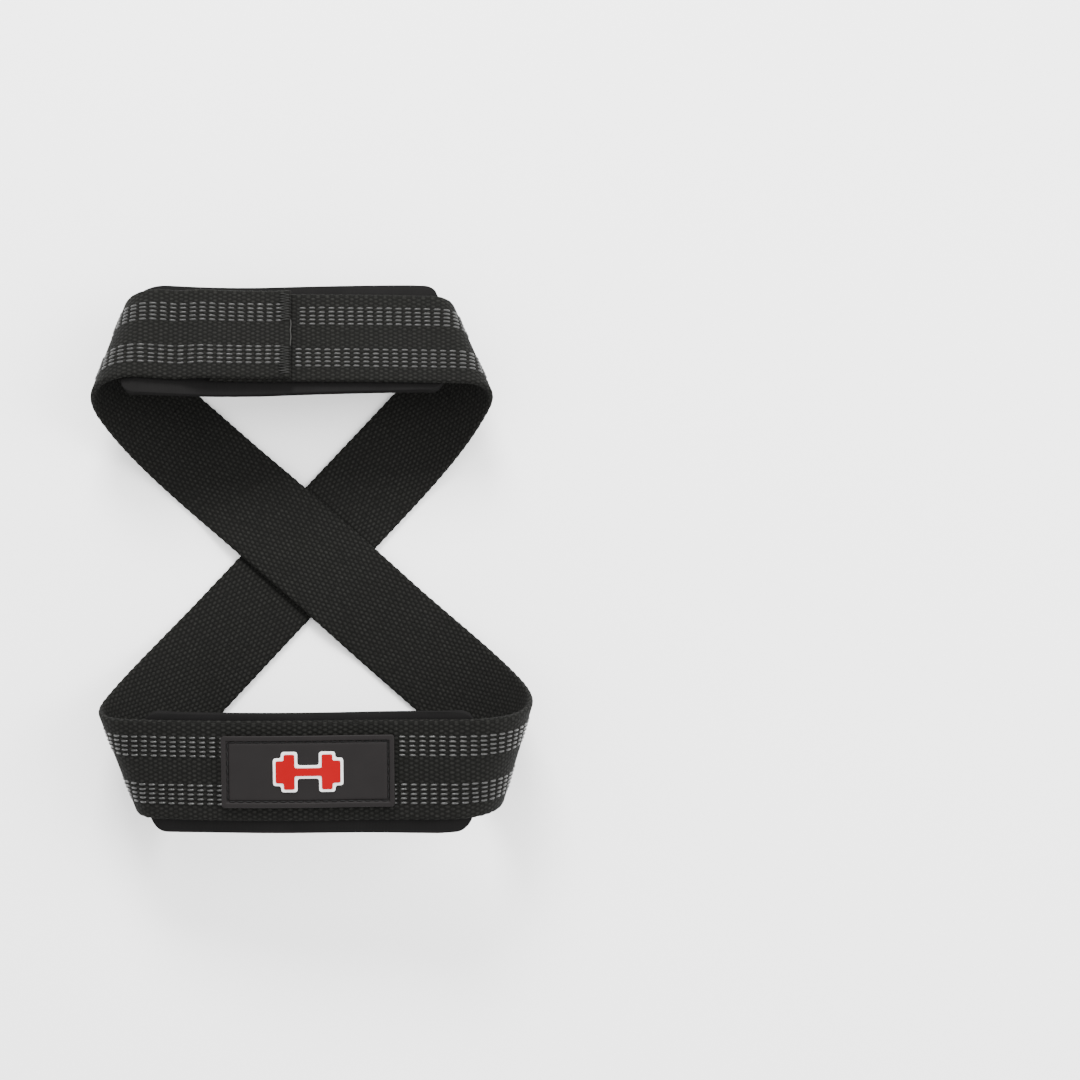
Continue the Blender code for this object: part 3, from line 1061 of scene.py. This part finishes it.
@dataclass
class FoldedEdge:
    """The edge where the webbing's end is turned under, between the two bar tacks, in paler yarn that is a
    painted highlight.
    """

    shape: StrapShape
    near_side: float = 5.2 * MM
    far_side: float = -6.4 * MM
    radius: float = 0.26 * MM
    sink: float = 0.10 * MM
    wander: float = 0.12 * MM
    wander_length: float = 0.9 * MM
    rings: int = 40

    def build(self) -> bpy.types.Object:
        """Make the edge.

        Returns:
            The edge's object.
        """
        across = np.linspace(self.far_side, self.near_side, self.rings)
        wander = self.wander * np.sin(across / self.wander_length)
        along = self.shape.seam_place - self.radius + wander
        out = self.shape.face + self.shape.top_layer(along) - self.sink
        points, quads = tube(self.shape.upper.place(along, across, out), self.radius)
        # Painted highlight: the edge's yarn is paler than the webbing's, for the light that catches the
        # fold.
        finish = YarnFinish("edge yarn with painted highlight", (0.008, 0.008, 0.007), (0.030, 0.030, 0.028), 0.5)
        return make_object("lap_edge", points, quads, finish.material())


@dataclass
class Plate:
    """A closed plate with rounded corners, laid along a loop's flat pattern."""

    loop: Loop
    place: float
    shift: float
    half_length: float
    half_width: float
    corner: float
    drift: float = 0.0

    def points(self, x: Array, y: Array, inset: float, out: Height) -> Array:
        """Wrap a grid of the plate that is drawn in by an inset.

        Args:
            x: Places along the full plate.
            y: Places across it.
            inset: How far the outline is drawn in.
            out: Height from the places and their distances from the edge.

        Returns:
            Points in space.
        """
        half_x, half_y = self.half_length - inset, self.half_width - inset
        small_x = x * half_x / self.half_length
        small_y = y * half_y / self.half_width
        new_x, new_y, edge = rounded(small_x, small_y, half_x, half_y, max(self.corner - inset, 1e-5))
        sideways = self.shift + self.drift * new_x + new_y
        return self.loop.place(self.place + new_x, sideways, out(new_x, new_y, edge + inset))

    def build(self, name: str, lines: tuple[Array, Array], wall: Sequence[tuple[float, float]],
              top: Height, bottom: Height, material: bpy.types.Material) -> bpy.types.Object:
        """Make the plate.

        Args:
            name: The piece's name.
            lines: Places of the grid's lines along and across the plate.
            wall: Insets and heights down the side, from the top face's edge to the bottom's.
            top: Height of the top face.
            bottom: Height of the bottom face.
            material: The finish.

        Returns:
            The plate's object.
        """
        x, y = np.meshgrid(*lines, indexing="ij")
        rows, columns = x.shape
        index = np.arange(rows * columns).reshape(rows, columns)
        border = np.concatenate((index[0, :-1], index[:-1, -1], index[-1, :0:-1], index[:0:-1, 0]))
        caps = [self.points(x, y, wall[0][0], top).reshape(-1, 3)]
        caps.append(self.points(x, y, wall[-1][0], bottom).reshape(-1, 3))
        rim_x, rim_y = x.ravel()[border], y.ravel()[border]
        rings = [self.points(rim_x, rim_y, inset, level(height)) for inset, height in wall[1:-1]]
        count, around = rows * columns, len(border)
        faces = [grid_faces(rows, columns), grid_faces(rows, columns, count, flipped=True)]
        numbers = [border]
        numbers += [2 * count + step * around + np.arange(around) for step in range(len(rings))]
        numbers.append(border + count)
        for above, below in zip(numbers, numbers[1:]):
            faces.append(np.stack((above, np.roll(above, -1), np.roll(below, -1), below), axis=1))
        quads = np.concatenate(faces)
        points = np.concatenate(caps + rings)
        flat = np.concatenate((
            np.stack((x.ravel(), y.ravel()), axis=1),
            np.stack((x.ravel(), y.ravel() + BACK_ON_PATTERN), axis=1),
            np.tile(np.stack((rim_x, rim_y), axis=1), (len(rings), 1)),
        ))
        made = make_object(name, points, quads, material, flat[quads.ravel()])
        face_outwards(made)
        return made


def face_outwards(item: bpy.types.Object) -> None:
    """Turn a closed mesh's faces out."""
    mesh = bmesh.new()
    mesh.from_mesh(item.data)
    bmesh.ops.recalc_face_normals(mesh, faces=mesh.faces)
    mesh.to_mesh(item.data)
    mesh.free()


@dataclass
class WristPad:
    """A neoprene pad that bends with the band above it."""

    name: str
    shape: StrapShape
    loop: Loop
    place: float
    shift: float
    drift: float = 0.0
    length: float = 0.1285
    width: float = 0.046
    thickness: float = 5.0 * MM
    corner: float = 7.5 * MM
    end_lines: int = 8
    lines_along: int = 90
    lines_across: int = 24
    wall_steps: int = 9
    wall_bulge: float = 1.1 * MM
    edge_drop: float = 0.35 * MM
    edge_fade: float = 1.0 * MM
    cloth_mass: float = 0.0002
    cloth_pressure: float = 30.0
    cloth_stiffness: float = 30.0
    cloth_frames: int = 12
    swelling: float = 0.9 * MM
    drawn_in: float = 0.7 * MM

    def build(self) -> bpy.types.Object:
        """Make the pad.

        Returns:
            The pad's object.
        """
        top = -self.shape.face - self.shape.seat_gap
        length, width = self.length + 2.0 * self.drawn_in, self.width + 2.0 * self.drawn_in
        plate = Plate(self.loop, self.place, self.shift, length / 2.0, width / 2.0, self.corner, self.drift)
        x = self.lines(length, self.lines_along)
        y = self.lines(width, self.lines_across)
        wall = []
        for angle in np.linspace(0.0, math.pi, self.wall_steps):
            inset = self.wall_bulge * (1.0 - math.sin(angle))
            wall.append((inset, top - self.thickness * (1.0 - math.cos(angle)) / 2.0))

        def upper(_x: Array, _y: Array, edge: Array) -> Array:
            """The face against the webbing, whose edge is drawn down a little."""
            return top - self.edge_drop * np.exp(-edge / self.edge_fade)

        lower = level(top - self.thickness)
        pad = plate.build(self.name, (x, y), wall, upper, lower, NeopreneFinish().material())
        self.swell(pad, len(x) * len(y))
        return pad

    def lines(self, size: float, count: int) -> Array:
        """Places of the grid's lines across a side, close together at its ends."""
        ends = self.corner * (1.0 - np.cos(np.linspace(0.0, math.pi / 2.0, self.end_lines)))
        middle = np.linspace(self.corner, size - self.corner, count)[1:-1]
        return np.concatenate((ends, middle, size - ends[::-1])) - size / 2.0

    def swell(self, pad: bpy.types.Object, sewn: int) -> None:
        """Blow the pad up as cloth that is sewn to the webbing along its upper face.

        Args:
            pad: The pad's object.
            sewn: Number of vertices, from the first, that stay in place.
        """
        rest = read_points(pad.data)
        group = pad.vertex_groups.new(name="sewn")
        group.add(list(range(sewn)), 1.0, "REPLACE")
        cloth = pad.modifiers.new("swelling", "CLOTH")
        settings = cloth.settings
        settings.mass = self.cloth_mass
        settings.vertex_group_mass = group.name
        settings.use_pressure = True
        settings.uniform_pressure_force = self.cloth_pressure
        settings.tension_stiffness = self.cloth_stiffness
        settings.compression_stiffness = self.cloth_stiffness
        settings.effector_weights.gravity = 0.0
        cloth.collision_settings.use_collision = False
        cloth.point_cache.frame_end = self.cloth_frames
        scene = bpy.context.scene
        for frame in range(1, self.cloth_frames + 1):
            scene.frame_set(frame)
        blown = read_points(pad.evaluated_get(bpy.context.evaluated_depsgraph_get()).to_mesh())
        scene.frame_set(1)
        pad.modifiers.remove(cloth)
        pad.vertex_groups.remove(group)
        moved = blown - rest
        distance = np.linalg.norm(moved, axis=1, keepdims=True)
        kept = self.swelling * (1.0 - np.exp(-distance / self.swelling))
        moved *= kept / np.maximum(distance, 1e-9)
        pad.data.vertices.foreach_set("co", (rest + moved).ravel())
        pad.data.update()
        LOG.info("%s swells by up to %.2f mm, free %.2f mm", pad.name, kept.max() / MM, distance.max() / MM)


@dataclass
class MouldedPatch:
    """The rubber patch on the lower band: a rounded rim, a sewn groove and a level panel."""

    shape: StrapShape
    place: float = 10.3 * MM
    length: float = 65.0 * MM
    width: float = 27.2 * MM
    corner: float = 1.2 * MM
    rim: float = 1.9 * MM
    rim_height: float = 1.8 * MM
    groove: float = 1.0 * MM
    soft: float = 0.25 * MM
    groove_floor: float = 0.9 * MM
    panel_height: float = 1.4 * MM
    rim_lines: tuple[float, float] = (0.6 * MM, 1.0 * MM)
    wall_lines: tuple[float, float] = (1.2 * MM, 0.5 * MM)
    lines_along: int = 60
    lines_across: int = 24
    stitch: float = 2.4 * MM
    stitch_low: float = 0.05 * MM
    stitch_rise: float = 0.25 * MM
    stitch_points: int = 7
    stitch_gap: float = 0.7 * MM
    thread_radius: float = 0.24 * MM

    @property
    def seat(self) -> float:
        """Height of the patch's underside over the webbing's middle surface."""
        return self.shape.face + self.shape.seat_gap

    def steps(self) -> Array:
        """Distances from the edge at which the face changes its slope."""
        rim, groove, soft = self.rim, self.rim + self.groove, self.soft
        return np.array((0.0, soft * 0.4, soft, rim - soft, rim - soft * 0.4, rim,
                         rim + soft, groove - soft, groove, groove + soft))

    def relief(self, edge: Array) -> Array:
        """Height of the patch's face over its underside at a distance from its edge."""
        top, low, panel, soft = self.rim_height, self.groove_floor, self.panel_height, self.soft
        heights = (top - soft, top - soft * 0.35, top, top, top - soft * 0.35, top - soft,
                   low, low, panel - soft * 0.5, panel)
        return np.interp(edge, self.steps(), heights)

    def lines(self, size: float, middle: int) -> Array:
        """Places of the grid's lines across a side, close together at the rim."""
        insets = np.sort(np.concatenate((self.steps(), self.rim_lines)))
        inner = np.linspace(insets[-1], size - insets[-1], middle)[1:-1]
        return np.concatenate((insets, inner, size - insets[::-1])) - size / 2.0

    def build(self) -> bpy.types.Object:
        """Make the patch.

        Returns:
            The patch's object.
        """
        plate = Plate(self.shape.lower, self.place, 0.0, self.length / 2.0, self.width / 2.0, self.corner)
        grid = (self.lines(self.length, self.lines_along), self.lines(self.width, self.lines_across))
        wall = [(0.0, self.seat + height) for height in (self.rim_height, *self.wall_lines, 0.0)]
        low, high = (0.0062, 0.0053, 0.0053), (0.0090, 0.0078, 0.0078)
        finish = RubberFinish("dark grey rubber", low, high, 0.5, 0.1)
        return plate.build(
            "moulded_patch", grid, wall,
            lambda _x, _y, edge: self.seat + self.relief(edge),
            level(self.seat),
            finish.material(),
        )

    def stitching(self) -> bpy.types.Object:
        """Make the stitches in the groove.

        Returns:
            The thread's object.
        """
        inset = self.rim + self.groove / 2.0
        half_x, half_y = self.length / 2.0 - inset, self.width / 2.0 - inset
        parts = []
        for along_side, half, fixed in ((True, half_x, half_y), (False, half_y, half_x)):
            count = round(2.0 * half / (self.stitch + self.stitch_gap))
            pitch = 2.0 * half / count
            for step in range(count):
                middle = -half + (step + 0.5) * pitch
                run = middle + np.linspace(-0.5, 0.5, self.stitch_points) * (pitch - self.stitch_gap)
                rise = np.sin(np.linspace(0.0, math.pi, self.stitch_points))
                out = self.seat + self.groove_floor + self.stitch_low + self.stitch_rise * rise
                for sign in (-1.0, 1.0):
                    other = np.full_like(run, sign * fixed)
                    x, y = (run, other) if along_side else (other, run)
                    parts.append(tube(self.shape.lower.place(self.place + x, y, out), self.thread_radius))
        points, quads = join_parts(parts)
        finish = YarnFinish("dark sewing thread", (0.002, 0.002, 0.002), (0.010, 0.010, 0.010), 0.55)
        return make_object("patch_stitching", points, quads, finish.material())


def fillet(corners: Sequence[tuple[float, float]], radius: float,
           steps: int = 5) -> list[tuple[float, float]]:
    """Round every corner of a closed outline.

    Args:
        corners: The outline's corners in order.
        radius: Radius of the rounding.
        steps: Number of pieces in each rounding.

    Returns:
        The rounded outline's points in order.
    """
    rounded_points = []
    for index, corner in enumerate(corners):
        here = Vector(corner)
        before = (Vector(corners[index - 1]) - here).normalized()
        after = (Vector(corners[(index + 1) % len(corners)]) - here).normalized()
        start, end = here + before * radius, here + after * radius
        for step in range(steps + 1):
            share = step / steps
            curve = (1.0 - share) ** 2 * start + 2.0 * share * (1.0 - share) * here + share**2 * end
            rounded_points.append((curve.x, curve.y))
    return rounded_points


@dataclass
class Emblem:
    """A plain dumb-bell in relief: a pale layer that shows as a border, and a red one on it."""

    shape: StrapShape
    patch: MouldedPatch
    border: float = 1.0 * MM
    layer: float = 0.4 * MM
    gap: float = 0.2 * MM
    bar_half_length: float = 5.0 * MM
    bar_half_width: float = 1.5 * MM
    inner_length: float = 4.0 * MM
    inner_half_width: float = 6.6 * MM
    outer_length: float = 3.0 * MM
    outer_half_width: float = 4.2 * MM
    bevel: float = 0.14 * MM
    rounding: float = 0.75 * MM
    border_rounding: float = 0.4
    sunk: float = 0.15 * MM
    cell: float = 1.0 * MM
    cell_shift: float = 0.001 * MM
    cell_reach: tuple[float, float] = (14.0 * MM, 8.0 * MM)

    def outline(self, grown: float) -> list[tuple[float, float]]:
        """Corners of the dumb-bell, grown by a border."""
        bar = self.bar_half_length - grown
        inner = self.bar_half_length + self.inner_length + grown
        outer = inner + self.outer_length
        quarter = [
            (bar, self.bar_half_width + grown),
            (bar, self.inner_half_width + grown),
            (inner, self.inner_half_width + grown),
            (inner, self.outer_half_width + grown),
            (outer, self.outer_half_width + grown),
        ]
        right = quarter + [(x, -y) for x, y in reversed(quarter)]
        return right + [(-x, -y) for x, y in right]

    def make_layer(self, name: str, grown: float, seat: float, finish: RubberFinish) -> bpy.types.Object:
        """Make one layer, cut into cells so that it bends with the band.

        Args:
            name: The piece's name.
            grown: How far it stands out past the dumb-bell.
            seat: Height of its underside.
            finish: Its finish.

        Returns:
            The layer's object.
        """
        mesh = bmesh.new()
        outline = fillet(self.outline(grown), self.rounding + grown * self.border_rounding)
        ring = [mesh.verts.new((x, y, 0.0)) for x, y in outline]
        base = mesh.faces.new(ring)
        walls = bmesh.ops.extrude_face_region(mesh, geom=[base], use_keep_orig=True)
        top = [item for item in walls["geom"] if isinstance(item, bmesh.types.BMFace)]
        lifted = [item for item in walls["geom"] if isinstance(item, bmesh.types.BMVert)]
        bmesh.ops.translate(mesh, verts=lifted, vec=(0.0, 0.0, self.layer - self.bevel))
        bmesh.ops.recalc_face_normals(mesh, faces=mesh.faces)
        bmesh.ops.inset_region(mesh, faces=top, thickness=self.bevel, depth=self.bevel, use_even_offset=True)
        for axis, reach in enumerate(self.cell_reach):
            count = round(2.0 * reach / self.cell)
            for place in np.linspace(-reach, reach, count + 1)[1:-1]:
                point = [0.0, 0.0, 0.0]
                normal = [0.0, 0.0, 0.0]
                point[axis], normal[axis] = float(place) + self.cell_shift, 1.0
                geometry = mesh.verts[:] + mesh.edges[:] + mesh.faces[:]
                bmesh.ops.bisect_plane(mesh, geom=geometry, plane_co=point, plane_no=normal)
        flat = np.array([vertex.co[:] for vertex in mesh.verts])
        wrapped = self.shape.lower.place(self.patch.place + flat[:, 0], flat[:, 1], seat + flat[:, 2])
        for vertex, point in zip(mesh.verts, wrapped):
            vertex.co = point
        bmesh.ops.recalc_face_normals(mesh, faces=mesh.faces)
        data = bpy.data.meshes.new(name)
        mesh.to_mesh(data)
        mesh.free()
        item = link_object(data, finish.material())
        data.set_sharp_from_angle(angle=math.radians(40))
        return item

    def build(self) -> tuple[bpy.types.Object, bpy.types.Object]:
        """Make both layers.

        Returns:
            The pale layer and the red layer.
        """
        seat = self.patch.seat + self.patch.panel_height + self.gap - self.sunk
        white = RubberFinish("white rubber", (0.62, 0.62, 0.62), (0.70, 0.70, 0.70), 0.45)
        red = RubberFinish("red rubber", (0.210, 0.0008, 0.0030), (0.245, 0.0014, 0.0045), 0.55, 0.03)
        pale = self.make_layer("emblem_outline", self.border, seat, white)
        field_piece = self.make_layer("emblem_dumbbell", 0.0, seat + self.layer, red)
        return pale, field_piece


@dataclass(frozen=True)
class SoftLight:
    """A square light: its place, its side in metres and its power in watts."""

    name: str
    place: tuple[float, float, float]
    size: float
    power: float


@dataclass
class Studio:
    """A pale floor, soft lights and a camera at the photograph's viewing angle."""

    tilt: float = math.radians(10.791)
    azimuth: float = math.radians(-23.717)
    roll: float = math.radians(-1.448)
    distance: float = 0.880069
    target: tuple[float, float, float] = (0.094594, 0.004318, 0.0)
    lens: float = 71.670
    floor_level: float = -0.2 * MM
    floor_half: float = 1.5
    floor_low: Colour = (0.95, 0.95, 0.95)
    floor_high: Colour = (0.97, 0.97, 0.97)
    brightness: float = 2.5
    key: SoftLight = SoftLight("key", (-0.10, 0.90, 0.75), 0.40, 24.0)
    fill: SoftLight = SoftLight("fill", (0.80, 0.05, 0.75), 0.60, 10.0)

    def camera(self) -> None:
        """Place the camera."""
        data = bpy.data.cameras.new("camera")
        data.sensor_width = 36.0
        data.lens = self.lens
        data.clip_start = 0.01
        back = Vector((
            math.sin(self.azimuth) * math.sin(self.tilt),
            -math.cos(self.azimuth) * math.sin(self.tilt),
            math.cos(self.tilt),
        ))
        right = Vector((0.0, 1.0, 0.0)).cross(back).normalized()
        up = back.cross(right)
        rolled_right = math.cos(self.roll) * right + math.sin(self.roll) * up
        rolled_up = math.cos(self.roll) * up - math.sin(self.roll) * right
        turn = Matrix((rolled_right, rolled_up, back)).transposed().to_4x4()
        item = bpy.data.objects.new("camera", data)
        item.matrix_world = Matrix.Translation(Vector(self.target) + self.distance * back) @ turn
        bpy.context.scene.collection.objects.link(item)
        bpy.context.scene.camera = item

    def floor(self) -> None:
        """Lay the floor."""
        reach = self.floor_half
        corners = np.array(((-reach, -reach), (reach, -reach), (reach, reach), (-reach, reach)))
        points = np.concatenate((corners, np.full((4, 1), self.floor_level)), axis=1)
        graph = Graph("pale floor")
        cloud = graph.noise(graph.place(), 3.0)
        material = graph.shade(graph.between(cloud, self.floor_low, self.floor_high), 0.7)
        make_object("floor", points, [(0, 1, 2, 3)], material)

    def light(self, lamp: SoftLight) -> None:
        """Add a light that points at the strap."""
        data = bpy.data.lights.new(lamp.name, "AREA")
        data.shape = "SQUARE"
        data.size = lamp.size
        data.energy = lamp.power
        item = bpy.data.objects.new(lamp.name, data)
        item.location = lamp.place
        item.rotation_euler = (-Vector(lamp.place)).to_track_quat("-Z", "Y").to_euler()
        bpy.context.scene.collection.objects.link(item)

    def build(self) -> None:
        """Set the stage."""
        self.camera()
        self.floor()
        world = bpy.data.worlds.new("soft white")
        world.use_nodes = True
        background = world.node_tree.nodes["Background"]
        background.inputs["Color"].default_value = (1.0, 1.0, 1.0, 1.0)
        background.inputs["Strength"].default_value = self.brightness
        bpy.context.scene.world = world
        self.light(self.key)
        self.light(self.fill)


def finish_piece(piece: bpy.types.Object, slot: str, *nodes: str) -> None:
    """Tie a piece to the frame.

    Args:
        piece: The dressed piece.
        slot: Name of the record's material slot for the piece; not used.
        nodes: Frame nodes that it stands for.
    """
    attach(piece, "root")
    if nodes:
        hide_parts(*nodes)
    LOG.info("%s: %d faces", piece.name, len(piece.data.polygons))


def main() -> None:
    """Build the strap and its stage."""
    logging.basicConfig(level=logging.INFO, format="%(name)s: %(message)s")
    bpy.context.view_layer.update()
    shape = StrapShape()
    Studio().build()
    finish_piece(WebbingStrip(shape).build(), "webbing", "webbing")
    finish_piece(GripYarns(shape).build(), "webbing")
    finish_piece(LapStitching(shape).build(), "webbing")
    finish_piece(FoldedEdge(shape).build(), "webbing")
    for pad in (
        WristPad("upper_wrist_pad", shape, shape.upper, 2.8 * MM, 0.0, -0.03),
        WristPad("lower_wrist_pad", shape, shape.lower, 10.8 * MM, -1.4 * MM),
    ):
        node = pad.name.replace("_wrist", "")
        piece = pad.build()
        finish_piece(piece, node, node)
    patch = MouldedPatch(shape)
    finish_piece(patch.build(), "patch", "patch")
    finish_piece(patch.stitching(), "patch")
    pale, red = Emblem(shape, patch).build()
    finish_piece(pale, "emblem_border", "emblem_border")
    finish_piece(red, "emblem_field", "emblem_field")


if __name__ == "__main__":
    main()
